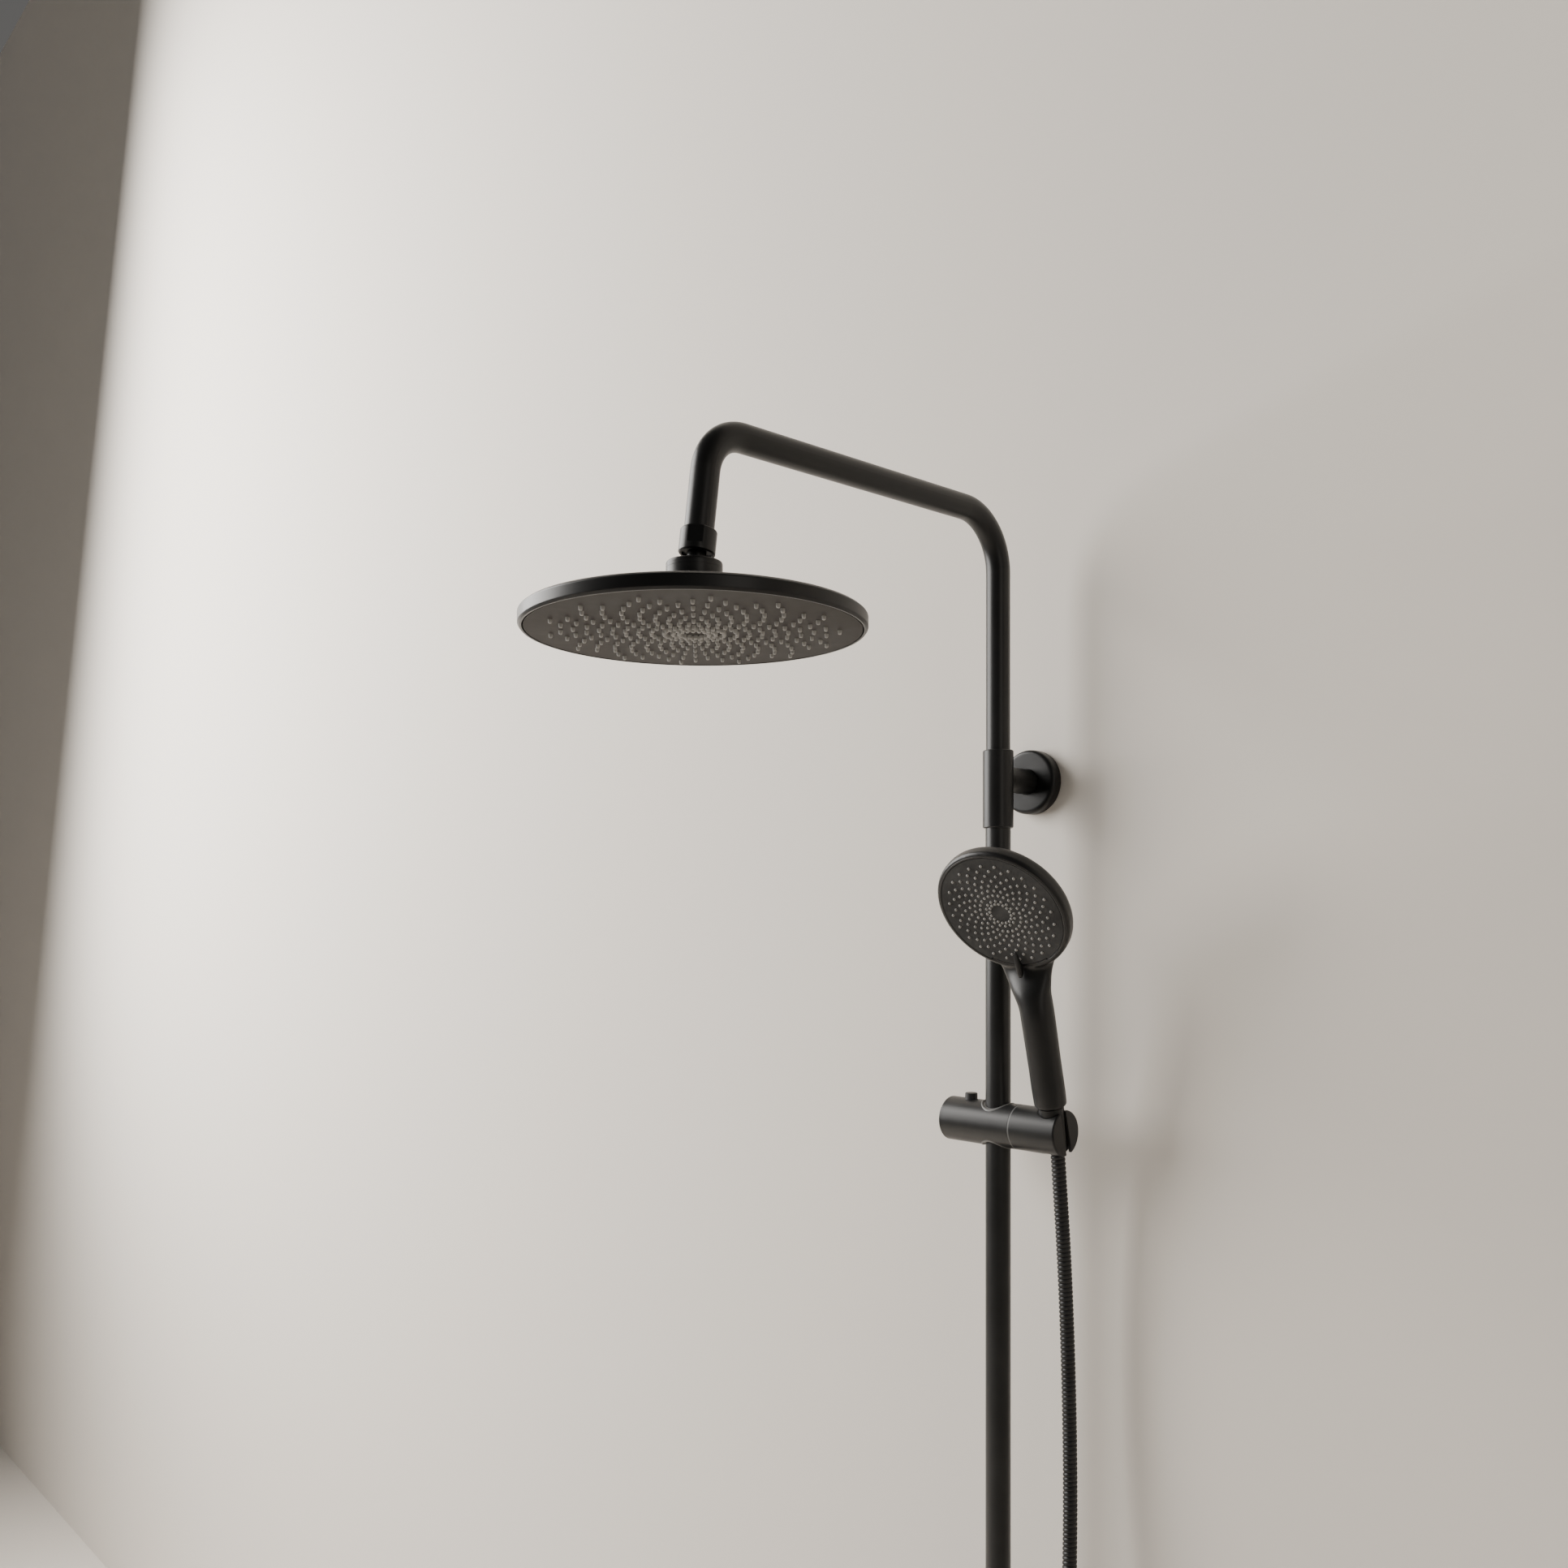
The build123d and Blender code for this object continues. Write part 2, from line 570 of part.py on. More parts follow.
with BuildPart() as riser_nut:
    with BuildSketch(Plane(origin=(0, RISER_Y, BAR_Z + 24.0), z_dir=(0, 0, 1))):
        Circle(16.0)
        Circle(13.7, mode=Mode.SUBTRACT)
    extrude(amount=12.4)
    with BuildSketch(Plane(origin=(0, RISER_Y, BAR_Z + 36.2), z_dir=(0, 0, 1))):
        Circle(16.0)
        Circle(RISER_OD / 2 + 0.1, mode=Mode.SUBTRACT)
    extrude(amount=11.8)
    chamfer(riser_nut.edges().sort_by(Axis.Z)[-1], 0.4)
keep(riser_nut, "riser_nut")

for side, sx in (("hot", -1), ("cold", 1)):
    x = sx * INLET_X
    with BuildPart() as union_pipe:
        with BuildSketch(Plane(origin=(x, 0, BAR_Z), x_dir=(1, 0, 0), z_dir=(0, -1, 0))):
            Circle(10.4)
            Circle(7.0, mode=Mode.SUBTRACT)
        extrude(amount=28.6)
        with BuildSketch(Plane(origin=(x, -26.8, BAR_Z), x_dir=(1, 0, 0), z_dir=(0, -1, 0))):
            Circle(12.0)
            Circle(7.0, mode=Mode.SUBTRACT)
        extrude(amount=1.8)
    keep(union_pipe, f"union_{side}")
    with BuildPart() as union_nut:
        with BuildSketch(Plane(origin=(x, -26.5, BAR_Z), x_dir=(1, 0, 0), z_dir=(0, -1, 0))):
            RegularPolygon(17.0, 6)
            Circle(12.2, mode=Mode.SUBTRACT)
        extrude(amount=9.3)
        with BuildSketch(Plane(origin=(x, -23.0, BAR_Z), x_dir=(1, 0, 0), z_dir=(0, -1, 0))):
            RegularPolygon(17.0, 6)
            Circle(10.6, mode=Mode.SUBTRACT)
        extrude(amount=3.6)
    keep(union_nut, f"union_nut_{side}")
    rose(f"mixer_rose_{side}", x, BAR_Z, 33.0, 11.0, 10.6)

for name, sx in (("thermostat_cartridge", 1), ("diverter_cartridge", -1)):
    with BuildPart() as cart:
        with BuildSketch(bar.offset(sx * 22)):
            Circle(15.3)
            Circle(11.0, mode=Mode.SUBTRACT)
        extrude(amount=sx * 30)
        with BuildSketch(bar.offset(sx * 50)):
            Circle(15.3)
        extrude(amount=sx * 44.5)
        with BuildSketch(bar.offset(sx * 94)):
            Circle(4.0)
        extrude(amount=sx * 26)
        # ports facing the supply
        with BuildSketch(Plane(origin=(sx * INLET_X, RISER_Y, BAR_Z), x_dir=(1, 0, 0), z_dir=(0, 1, 0))):
            Circle(6.0)
        extrude(amount=20, mode=Mode.SUBTRACT)
        with BuildSketch(bar.offset(sx * 45)):
            with Locations((7, 0)):
                Circle(3.0)
        extrude(amount=sx * 30, mode=Mode.SUBTRACT)
    keep(cart, name)

for name, sx in (("temperature_handle", 1), ("flow_handle", -1)):
    with BuildPart() as knob:
        with BuildSketch(bar.offset(sx * 96.2)):
            Circle(23.5)
        extrude(amount=sx * 50)
        fillet(knob.faces().sort_by(Axis.X)[-1 if sx > 0 else 0].edges(), 3)
        with BuildSketch(bar.offset(sx * 96)):
            Circle(20.5)
            Circle(8.0, mode=Mode.SUBTRACT)
        extrude(amount=sx * 42, mode=Mode.SUBTRACT)
        with BuildSketch(bar.offset(sx * 96)):
            Circle(4.1)
        extrude(amount=sx * 25, mode=Mode.SUBTRACT)
        if sx > 0:
            with BuildSketch(Plane(origin=(118, RISER_Y, BAR_Z + 19), z_dir=(0, 0, 1))):
                Circle(4.2)
            extrude(amount=8, mode=Mode.SUBTRACT)
    keep(knob, name)

with BuildPart() as stop_button:
    with BuildSketch(Plane(origin=(118, RISER_Y, BAR_Z + 12), z_dir=(0, 0, 1))):
        Circle(4.0)
    extrude(amount=15)
    with BuildSketch(Plane(origin=(118, RISER_Y, BAR_Z + 12), z_dir=(0, 0, 1))):
        Circle(5.4)
    extrude(amount=4)
keep(stop_button, "stop_button")

HOSE_END_Z = BAR_Z - 57.0
with BuildPart() as hose_nut_bottom:
    with BuildSketch(Plane(origin=(OUTLET_X, RISER_Y, HOSE_END_Z + 2), x_dir=(1, 0, 0), z_dir=(0, -1, 0))):
        with BuildLine():
            Polyline((6.9, -2), (8.6, -2), (12.2, 10), (12.2, 31.5), (10.6, 31.5), (10.6, 20.6), (5, 20.6), (5, 10),
                     (6.9, 8), (6.9, -2))
        make_face()
    revolve(axis=Axis((OUTLET_X, RISER_Y, 0), (0, 0, 1)))
keep(hose_nut_bottom, "hose_nut_bottom")

# ------------------------------------------------------------ hose
start = hand_pt(0, 0, -8.0)    # inside the upper nut
route = [start,
         hand_pt(0, 0, -22),
         (61, -49.9, -358), (61.2, -47.2, -384), (61.6, -44, -420), (62.3, -40.5, -475), (64.3, -39, -555),
         (67.3, -41.5, -640), (71, -49, -725),
         (76, -62, -810), (80, -78, -893), (83, -91, -976), (84, -98.5, -1058), (83.5, -99.5, -1134),
         (82, -98, -1200), (79.5, -94, -1262), (78, -90, -1328), (50, -84, -1367), (5, -78.5, -1382),
         (-40, -73, -1367), (-68, -69, -1329), (-70, -65.5, -1268), (-69.5, -62.5, -1208),
         (-63.5, -59.8, -1152), (-51.2, RISER_Y, -1098), (OUTLET_X, RISER_Y, HOSE_END_Z + 9)]


def corner_radii(points):
    """Largest comfortable bend at each corner of the route."""
    out = []
    for a, b, c in zip(points, points[1:], points[2:]):
        u, v = Vector(*b) - Vector(*a), Vector(*c) - Vector(*b)
        turn = radians(u.get_angle(v))
        out.append(0.45 * min(u.length, v.length) / tan(turn / 2))
    return out


radii = corner_radii(route)
with BuildPart() as hose:
    with BuildLine() as hose_line:
        FilletPolyline(*route, radius=radii)
    u0 = Vector(*route[1]) - Vector(*route[0])
    with BuildSketch(Plane(origin=route[0], z_dir=u0)):
        Circle(HOSE_R)
        Circle(HOSE_R - 2.4, mode=Mode.SUBTRACT)
    sweep()
keep(hose, "hose")
print("hose length", round(sum(e.length for e in hose_line.edges()), 1), "smallest bend", round(min(radii), 1),
      "radius", HOSE_R)
for name, p in parts:
    n = len(p.solids())
    if n != 1 or not p.is_valid:
        print("CHECK", name, "solids", n, "valid", p.is_valid)
print(len(parts), "parts")
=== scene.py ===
"""Rainfall shower column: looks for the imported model. Metres, same frame as the model:
origin on the wall behind the upper bracket, +X right when facing the wall, +Y into the wall, +Z up."""
import json
import math

import bmesh
import bpy
import numpy as np
from mathutils import Matrix, Vector


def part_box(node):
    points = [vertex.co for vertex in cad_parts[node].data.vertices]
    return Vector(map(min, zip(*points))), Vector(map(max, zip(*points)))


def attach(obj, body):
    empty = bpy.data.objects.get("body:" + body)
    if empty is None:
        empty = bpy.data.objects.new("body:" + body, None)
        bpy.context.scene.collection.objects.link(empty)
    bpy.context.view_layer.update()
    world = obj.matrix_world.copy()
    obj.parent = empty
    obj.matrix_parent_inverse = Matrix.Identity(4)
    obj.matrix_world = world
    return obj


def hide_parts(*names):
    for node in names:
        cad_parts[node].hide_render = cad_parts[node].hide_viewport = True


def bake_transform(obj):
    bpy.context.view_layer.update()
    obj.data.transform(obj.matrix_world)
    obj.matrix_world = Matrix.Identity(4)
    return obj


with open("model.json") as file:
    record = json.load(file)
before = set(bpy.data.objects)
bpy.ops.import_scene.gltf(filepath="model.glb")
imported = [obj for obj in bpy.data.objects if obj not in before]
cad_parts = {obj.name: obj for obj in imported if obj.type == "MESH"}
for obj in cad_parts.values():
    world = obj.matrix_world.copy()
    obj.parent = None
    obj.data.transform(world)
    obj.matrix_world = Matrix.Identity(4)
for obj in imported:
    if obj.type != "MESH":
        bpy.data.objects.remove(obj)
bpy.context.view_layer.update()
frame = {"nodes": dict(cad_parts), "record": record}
nodes = frame["nodes"]
joints = {j["name"]: j for j in frame["record"]["behaviour"]["joints"]}
scene = bpy.context.scene

# ================================================================ camera
# Level camera with a raised lens, standing in the room to the front right of the column.
camera_data = bpy.data.cameras.new("camera")
camera = bpy.data.objects.new("camera", camera_data)
scene.collection.objects.link(camera)
scene.camera = camera
camera.location = (0.701, -1.020, -0.1245)
camera.rotation_euler = Vector((-0.714, 0.700, 0.0)).to_track_quat("-Z", "Y").to_euler()
camera_data.sensor_width = 36.0
camera_data.lens = 29.33
camera_data.shift_y = 0.0828
camera_data.clip_start = 0.05

# ================================================================ hose
# A 13 mm reinforced hose with a spirally ribbed black skin, 1.46 m between its two nuts. It leaves the handset's
# nut, hangs beside the riser, makes one low loop and comes back up into the mixer's outlet.
# It is four lengths end to end: at the handset, at the holder, at the slider, and the loop.
HOSE_RADIUS = 0.0065
RIB_PITCH = 0.004
RIB_DEPTH = 0.0010
STEPS_A_RIB = 8
HOSE_SIDES = 18
seat_point = Vector(joints["holder_tilt"]["pos_m"])
handle_up = Vector(joints["handset_lift"]["axis"]).normalized()
handle_back = handle_up.cross(Vector((1, 0, 0)))


def seat_axes(x, y, z):
    """A point in the seat's axes: right, towards the wall, and up the handle."""
    return seat_point + Vector((x, 0, 0)) + handle_back * y + handle_up * z


def middle(node):
    low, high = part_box(node)
    return (low + high) / 2


outlet = middle("hose_nut_bottom")
hose_route = [seat_axes(0, 0, -0.008), seat_axes(0, 0, -0.022), Vector((0.061, -0.0499, -0.358)),
              Vector((0.0612, -0.0472, -0.384)), Vector((0.0616, -0.044, -0.420)), Vector((0.0623, -0.0405, -0.475)),
              Vector((0.0643, -0.039, -0.555)), Vector((0.0673, -0.0415, -0.640)), Vector((0.071, -0.049, -0.725)),
              Vector((0.076, -0.062, -0.810)),
              Vector((0.080, -0.078, -0.893)), Vector((0.083, -0.091, -0.976)), Vector((0.084, -0.0985, -1.058)),
              Vector((0.0835, -0.0995, -1.134)), Vector((0.082, -0.098, -1.200)), Vector((0.0795, -0.094, -1.262)),
              Vector((0.078, -0.090, -1.328)), Vector((0.050, -0.084, -1.367)), Vector((0.005, -0.0785, -1.382)),
              Vector((-0.040, -0.073, -1.367)), Vector((-0.068, -0.069, -1.329)), Vector((-0.070, -0.0655, -1.268)),
              Vector((-0.0695, -0.0625, -1.208)), Vector((-0.0635, -0.0598, -1.152)), Vector((-0.0512, -0.057, -1.098)),
              Vector((outlet.x, outlet.y, -1.063))]


def smooth_line(points, name, resolution):
    """Points along the smooth NURBS line that a listed route controls."""
    data = bpy.data.curves.new(name, "CURVE")
    data.dimensions = "3D"
    data.resolution_u = resolution
    spline = data.splines.new("NURBS")
    spline.points.add(len(points) - 1)
    for p, q in zip(spline.points, points):
        p.co = (*q, 1)
    spline.order_u = 3
    spline.use_endpoint_u = True
    ob = bpy.data.objects.new(name, data)
    mesh = bpy.data.meshes.new_from_object(ob)
    out = np.array([v.co for v in mesh.vertices])
    bpy.data.objects.remove(ob)
    bpy.data.curves.remove(data)
    bpy.data.meshes.remove(mesh)
    return out


def add_piece(name, verts, faces, sharp=None):
    """A new smooth-shaded mesh object; edges steeper than sharp degrees stay crisp."""
    mesh = bpy.data.meshes.new(name)
    mesh.from_pydata([tuple(map(float, v)) for v in verts], [], faces)
    mesh.validate()
    mesh.shade_smooth()
    if sharp:
        mesh.set_sharp_from_angle(angle=math.radians(sharp))
    ob = bpy.data.objects.new(name, mesh)
    scene.collection.objects.link(ob)
    return ob


raw = smooth_line(hose_route, "hose_route", 90)
run = np.concatenate([[0], np.cumsum(np.linalg.norm(np.diff(raw, axis=0), axis=1))])
hose_length = run[-1]
rings = int(hose_length / RIB_PITCH * STEPS_A_RIB)
along = np.linspace(0, hose_length, rings + 1)
line = np.stack([np.interp(along, run, raw[:, k]) for k in range(3)], 1)
ahead = np.stack([np.interp(along + 0.003, run, raw[:, k]) - np.interp(along - 0.003, run, raw[:, k])
                  for k in range(3)], 1)
ahead /= np.linalg.norm(ahead, axis=1)[:, None]
side = np.zeros_like(ahead)
side[0] = np.cross(ahead[0], (0, 1, 0))
side[0] /= np.linalg.norm(side[0])
for i in range(1, len(ahead)):
    s = side[i - 1] - ahead[i] * (side[i - 1] @ ahead[i])
    side[i] = s / np.linalg.norm(s)
other = np.cross(ahead, side)

turn = np.arange(HOSE_SIDES) / HOSE_SIDES
groove = (along[:, None] / RIB_PITCH - turn[None, :]) % 1.0
ribs = HOSE_RADIUS - RIB_DEPTH * np.abs(np.cos(math.pi * groove)) ** 5
skin = (line[:, None, :] + side[:, None, :] * (ribs * np.cos(2 * math.pi * turn))[:, :, None]
        + other[:, None, :] * (ribs * np.sin(2 * math.pi * turn))[:, :, None])

hose_pieces = []
cuts = [0.0, 0.085, 0.175, 0.275, hose_length]
hose_names = ["hose_at_handset", "hose_at_holder", "hose_at_slider", "hose_loop"]
for name, from_, to in zip(hose_names, cuts, cuts[1:]):
    a, b = int(round(from_ / hose_length * rings)), int(round(to / hose_length * rings))
    count = b - a + 1
    faces = [(i * HOSE_SIDES + j, i * HOSE_SIDES + (j + 1) % HOSE_SIDES,
              (i + 1) * HOSE_SIDES + (j + 1) % HOSE_SIDES, (i + 1) * HOSE_SIDES + j)
             for i in range(count - 1) for j in range(HOSE_SIDES)]
    piece = add_piece(name, skin[a:b + 1].reshape(-1, 3), faces)
    hose_pieces.append((piece, line[a:b + 1]))

# Shared surface character: fine grain, slow clouding, and a set tone where an edge stands out, partly light rubbing and
# partly a painted edge highlight.
surface = bpy.data.node_groups.new("surface_character", "ShaderNodeTree")
for name, kind, io in (("Grain scale", "NodeSocketFloat", "INPUT"), ("Cloud scale", "NodeSocketFloat", "INPUT"),
                       ("Grain", "NodeSocketFloat", "OUTPUT"), ("Cloud", "NodeSocketFloat", "OUTPUT"),
                       ("Rubbed edge and highlight", "NodeSocketFloat", "OUTPUT")):
    surface.interface.new_socket(name=name, socket_type=kind, in_out=io)
g_in, g_out = surface.nodes.new("NodeGroupInput"), surface.nodes.new("NodeGroupOutput")
where = surface.nodes.new("ShaderNodeTexCoord")
grain = surface.nodes.new("ShaderNodeTexNoise")
grain.inputs["Detail"].default_value = 3.0
grain.inputs["Roughness"].default_value = 0.6
cloud = surface.nodes.new("ShaderNodeTexNoise")
cloud.inputs["Detail"].default_value = 4.0
cloud.inputs["Roughness"].default_value = 0.55
shape = surface.nodes.new("ShaderNodeNewGeometry")
edge = surface.nodes.new("ShaderNodeMapRange")
edge.inputs["From Min"].default_value = 0.52
edge.inputs["From Max"].default_value = 0.62
# Edge mask, clouded: where the edge tone goes, partly rubbed wear and partly a painted edge highlight.
wear_and_highlight_mask = surface.nodes.new("ShaderNodeMath")
wear_and_highlight_mask.operation = "MULTIPLY"
for a, b in ((where.outputs["Object"], grain.inputs["Vector"]), (where.outputs["Object"], cloud.inputs["Vector"]),
             (g_in.outputs["Grain scale"], grain.inputs["Scale"]), (g_in.outputs["Cloud scale"], cloud.inputs["Scale"]),
             (shape.outputs["Pointiness"], edge.inputs["Value"]), (edge.outputs["Result"], wear_and_highlight_mask.inputs[0]),
             (cloud.outputs["Fac"], wear_and_highlight_mask.inputs[1]), (grain.outputs["Fac"], g_out.inputs["Grain"]),
             (cloud.outputs["Fac"], g_out.inputs["Cloud"]), (wear_and_highlight_mask.outputs["Value"], g_out.inputs["Rubbed edge and highlight"])):
    surface.links.new(a, b)


def make_finish(name, light, dark, rough, grain_mm=0.4, relief=0.00002, cloud_mm=35, wear_and_highlight_tone=(0.10, 0.10, 0.10),
                spread=0.08, **plain):
    """A procedural finish: two close tones clouded together, a roughness that follows, grain relief, and an edge tone
    that is partly rubbed wear and partly a painted edge highlight.
    """
    m = bpy.data.materials.new(name)
    m.use_nodes = True
    tree = m.node_tree
    shader = tree.nodes["Principled BSDF"]
    detail = tree.nodes.new("ShaderNodeGroup")
    detail.node_tree = surface
    detail.inputs["Grain scale"].default_value = 1000.0 / grain_mm
    detail.inputs["Cloud scale"].default_value = 1000.0 / cloud_mm
    tones = tree.nodes.new("ShaderNodeMix")
    tones.data_type = "RGBA"
    tones.inputs[6].default_value = (*dark, 1)
    tones.inputs[7].default_value = (*light, 1)
    # The edge tone is partly rubbing and partly a painted highlight; on the black finishes it is several times lighter
    # than the base.
    wear_and_highlight_mix = tree.nodes.new("ShaderNodeMix")
    wear_and_highlight_mix.data_type = "RGBA"
    wear_and_highlight_mix.inputs[7].default_value = (*wear_and_highlight_tone, 1)
    sheen = tree.nodes.new("ShaderNodeMapRange")
    sheen.inputs["From Min"].default_value = 0.3
    sheen.inputs["From Max"].default_value = 0.7
    sheen.inputs["To Min"].default_value = rough - spread / 2
    sheen.inputs["To Max"].default_value = rough + spread / 2
    relief_node = tree.nodes.new("ShaderNodeBump")
    relief_node.inputs["Distance"].default_value = relief
    for a, b in ((detail.outputs["Cloud"], tones.inputs[0]), (tones.outputs[2], wear_and_highlight_mix.inputs[6]),
                 (detail.outputs["Rubbed edge and highlight"], wear_and_highlight_mix.inputs[0]), (wear_and_highlight_mix.outputs[2], shader.inputs["Base Color"]),
                 (detail.outputs["Cloud"], sheen.inputs["Value"]),
                 (sheen.outputs["Result"], shader.inputs["Roughness"]),
                 (detail.outputs["Grain"], relief_node.inputs["Height"]),
                 (relief_node.outputs["Normal"], shader.inputs["Normal"])):
        tree.links.new(a, b)
    for key, value in plain.items():
        shader.inputs[key.replace("_", " ")].default_value = value
    return m


def coat_piece(ob, finish):
    ob.data.materials.clear()
    ob.data.materials.append(finish)


hose_skin = make_finish("hose_skin", (0.009, 0.009, 0.0095), (0.005, 0.005, 0.0055), 0.40, grain_mm=0.5, relief=0.00001,
                        Specular_IOR_Level=0.35)
for piece, path in hose_pieces:
    coat_piece(piece, hose_skin)
    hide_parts("hose")
(at_handset, path_a), (at_holder, path_b), (at_slider, path_c), (hose_loop, path_d) = hose_pieces
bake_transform(at_handset)
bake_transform(at_holder)
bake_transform(at_slider)
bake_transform(hose_loop)


# ================================================================ mixer
# A thermostatic bar mixer: cast brass body under black powder coat, two turned handles with fluted grips, and
# chamfered hexagon nuts that pull it onto the two wall supplies behind round covers.
MM = 0.001


def axes_at(origin, z_dir, x_dir):
    """A frame as a matrix: its own z runs along z_dir, its x leans towards x_dir."""
    z = Vector(z_dir).normalized()
    x = (Vector(x_dir) - z * Vector(x_dir).dot(z)).normalized()
    m = Matrix((x, z.cross(x), z)).transposed().to_4x4()
    m.translation = Vector(origin)
    return m


def eased(corners, parts=5):
    """Closed outline of (radius, height, easing) corners in mm, with each eased corner rounded."""
    out = []
    for i, c in enumerate(corners):
        p, a, b = (Vector(corners[j % len(corners)][:2]) for j in (i, i - 1, i + 1))
        r = c[2] if len(c) > 2 else 0
        if not r:
            out.append(tuple(p))
            continue
        u, v = (a - p), (b - p)
        half = u.angle(v) / 2
        reach = min(r / math.tan(half), 0.48 * u.length, 0.48 * v.length)
        p0, p1 = p + u.normalized() * reach, p + v.normalized() * reach
        for k in range(parts + 1):
            t = k / parts
            out.append(tuple(p0 * (1 - t) ** 2 + p * 2 * t * (1 - t) + p1 * t * t))
    return out


def turned_mesh(place, outline, steps=96, shape=None):
    """Points and faces of a lathe-turned closed outline; shape(r, h, angle) may cut flats or flutes into it."""
    verts, faces, n = [], [], len(outline)
    for i in range(steps):
        a = 2 * math.pi * i / steps
        for r, h in outline:
            rr = shape(r, h, a) if shape else r
            verts.append(place @ Vector((rr * MM * math.cos(a), rr * MM * math.sin(a), h * MM)))
    for i in range(steps):
        j = (i + 1) % steps
        for k in range(n):
            m = (k + 1) % n
            if max(outline[k][0], outline[m][0]) > 1e-6:
                faces.append((i * n + k, j * n + k, j * n + m, i * n + m))
    return verts, faces


def clean(ob, gap=1e-6):
    """Joins doubled points and points every face outward."""
    bm = bmesh.new()
    bm.from_mesh(ob.data)
    bmesh.ops.remove_doubles(bm, verts=bm.verts, dist=gap)
    bmesh.ops.dissolve_degenerate(bm, edges=bm.edges, dist=gap / 10)
    bmesh.ops.recalc_face_normals(bm, faces=bm.faces)
    bm.to_mesh(ob.data)
    bm.free()


def turned(name, place, outline, finish, body, node, steps=96, shape=None, sharp=28):
    """A finished lathe-turned piece, riding on its body and standing in for its node."""
    verts, faces = turned_mesh(place, outline, steps, shape)
    ob = add_piece(name, verts, faces)
    clean(ob)
    ob.data.shade_smooth()
    ob.data.set_sharp_from_angle(angle=math.radians(sharp))
    coat_piece(ob, finish)
    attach(ob, body)
    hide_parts(node)
    return ob


# On the black finishes the lighter edge tone is partly a painted edge highlight.
powder_coat = make_finish("black_powder_coat", (0.0060, 0.0060, 0.0062), (0.0042, 0.0042, 0.0044), 0.36, grain_mm=0.45,
                          relief=0.000012, cloud_mm=60, wear_and_highlight_tone=(0.03, 0.03, 0.03), spread=0.05, Specular_IOR_Level=0.35)
bare_brass = make_finish("turned_brass", (0.62, 0.45, 0.20), (0.42, 0.29, 0.12), 0.32, grain_mm=0.8, relief=0.000008,
                         Metallic=1.0)
bare_steel = make_finish("machined_steel", (0.50, 0.50, 0.51), (0.36, 0.36, 0.37), 0.30, grain_mm=0.6,
                         relief=0.000008, Metallic=1.0)
HANDLE_FLUTES = 28
FLUTE_FROM, FLUTE_TO, FLUTE_RUNOUT, FLUTE_DEPTH = 15, 44, 3, 0.7   # mm along and into the handle
bar_line = Vector((0, middle("riser_tube").y, joints["temperature_turn"]["pos_m"][2]))


def fluted(r, h, a):
    """Shallow finger flutes round the outer half of a handle."""
    if r < 21 or not FLUTE_FROM < h < FLUTE_TO:
        return r
    ease = min(1, (h - FLUTE_FROM) / FLUTE_RUNOUT, (FLUTE_TO - h) / FLUTE_RUNOUT)
    return r - FLUTE_DEPTH * ease * abs(math.sin(HANDLE_FLUTES / 2 * a)) ** 3


for name, sx, body, node in (("temperature_grip", 1, "temperature", "temperature_handle"),
                             ("flow_grip", -1, "flow", "flow_handle")):
    place = axes_at(bar_line + Vector((sx * 96.2 * MM, 0, 0)), (sx, 0, 0), (0, 1, 0))
    outline = eased([(4.2, 24), (4.2, 0), (8, 0), (8, 41.5), (20.5, 41.5), (20.5, 0), (22.9, 0, 0.4), (23.4, 0.8, 0.4),
                     (23.4, 9, 0.3), (22.6, 9.5), (22.6, 10.7), (23.4, 11.2, 0.3), (23.4, 13.5), (23.4, 16), (23.4, 20),
                     (23.4, 26), (23.4, 33), (23.4, 40), (23.4, 43), (23.4, 49.9, 3.2), (18, 49.9, 0.3),
                     (17.4, 49.2, 0.3), (0, 49.2), (0, 24)])
    turned(name, place, outline, powder_coat, body, node, steps=336, shape=fluted)
for side_name, sx in (("hot", -1), ("cold", 1)):
    place = axes_at((middle(f"union_nut_{side_name}").x, -0.0170, bar_line.z), (0, -1, 0), (1, 0, 0))
    across_flats = 14.6

    def hexagon(r, h, a):
        return min(r, across_flats / math.cos((a % (math.pi / 3)) - math.pi / 6))

    turned(f"wall_nut_{side_name}", place,
           eased([(10.7, 2.6), (10.7, 0), (14.6, 0), (16.8, 1.2), (16.8, 17.5), (14.6, 18.7), (12.3, 18.7), (12.3, 9.4),
                  (10.7, 9.4)]), powder_coat, "column", f"union_nut_{side_name}", shape=hexagon)


def wall_cover(name, x, z, radius, depth, hole, node):
    place = axes_at((x, -0.00005, z), (0, -1, 0), (1, 0, 0))
    turned(name, place, eased([(hole, depth - 2.4), (hole, depth, 0.4), (radius, depth, 4.4), (radius, 0, 0.3),
                               (radius - 2.2, 0), (radius - 2.2, depth - 2.4)], parts=9),
           powder_coat, "column", node, steps=128)


for side_name in ("hot", "cold"):
    wall_cover(f"supply_cover_{side_name}", middle(f"mixer_rose_{side_name}").x, bar_line.z, 33.0, 11.0, 10.7,
               f"mixer_rose_{side_name}")
for node in ("mixer_body", "riser_nut", "hose_nut_bottom"):
    coat_piece(nodes[node], powder_coat)
for node in ("union_hot", "union_cold", "thermostat_cartridge", "diverter_cartridge", "arm_nipple"):
    coat_piece(nodes[node], bare_brass)
matte_moulding = make_finish("matte_black_moulding", (0.012, 0.012, 0.0125), (0.008, 0.008, 0.0085), 0.48,
                             grain_mm=0.5, relief=0.000015, wear_and_highlight_tone=(0.05, 0.05, 0.05))
coat_piece(nodes["stop_button"], matte_moulding)

